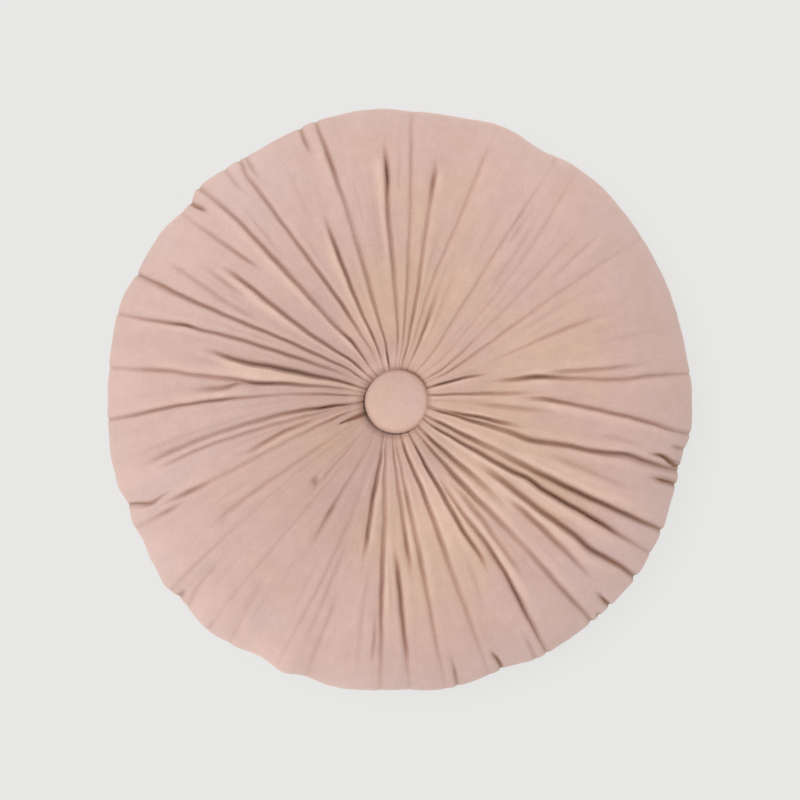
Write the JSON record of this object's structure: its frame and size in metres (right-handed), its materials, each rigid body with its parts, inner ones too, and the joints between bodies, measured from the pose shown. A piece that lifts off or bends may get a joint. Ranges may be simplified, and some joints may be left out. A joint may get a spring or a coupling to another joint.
{
  "type": "round cushion",
  "caption": "Round filled velvet cushion lying on its back, its cloth pleated from the rim to a covered button in the middle of each side.",
  "frame": {"origin": "middle of the cushion's box, on the surface that it lies on", "axes": "+Z up, out of the face; +Y is up in the picture and +X is right in it"},
  "size_m": [0.4024, 0.3988, 0.1011],
  "materials": {
    "velvet": "matt cotton velvet, blush pink, creased along its folds",
    "button_velvet": "matt cotton velvet, blush pink, drawn flat over the button"
  },
  "bodies": {
    "root": {"cushion": "velvet", "face_button": "button_velvet", "back_button": "button_velvet"}
  },
  "joints": []
}
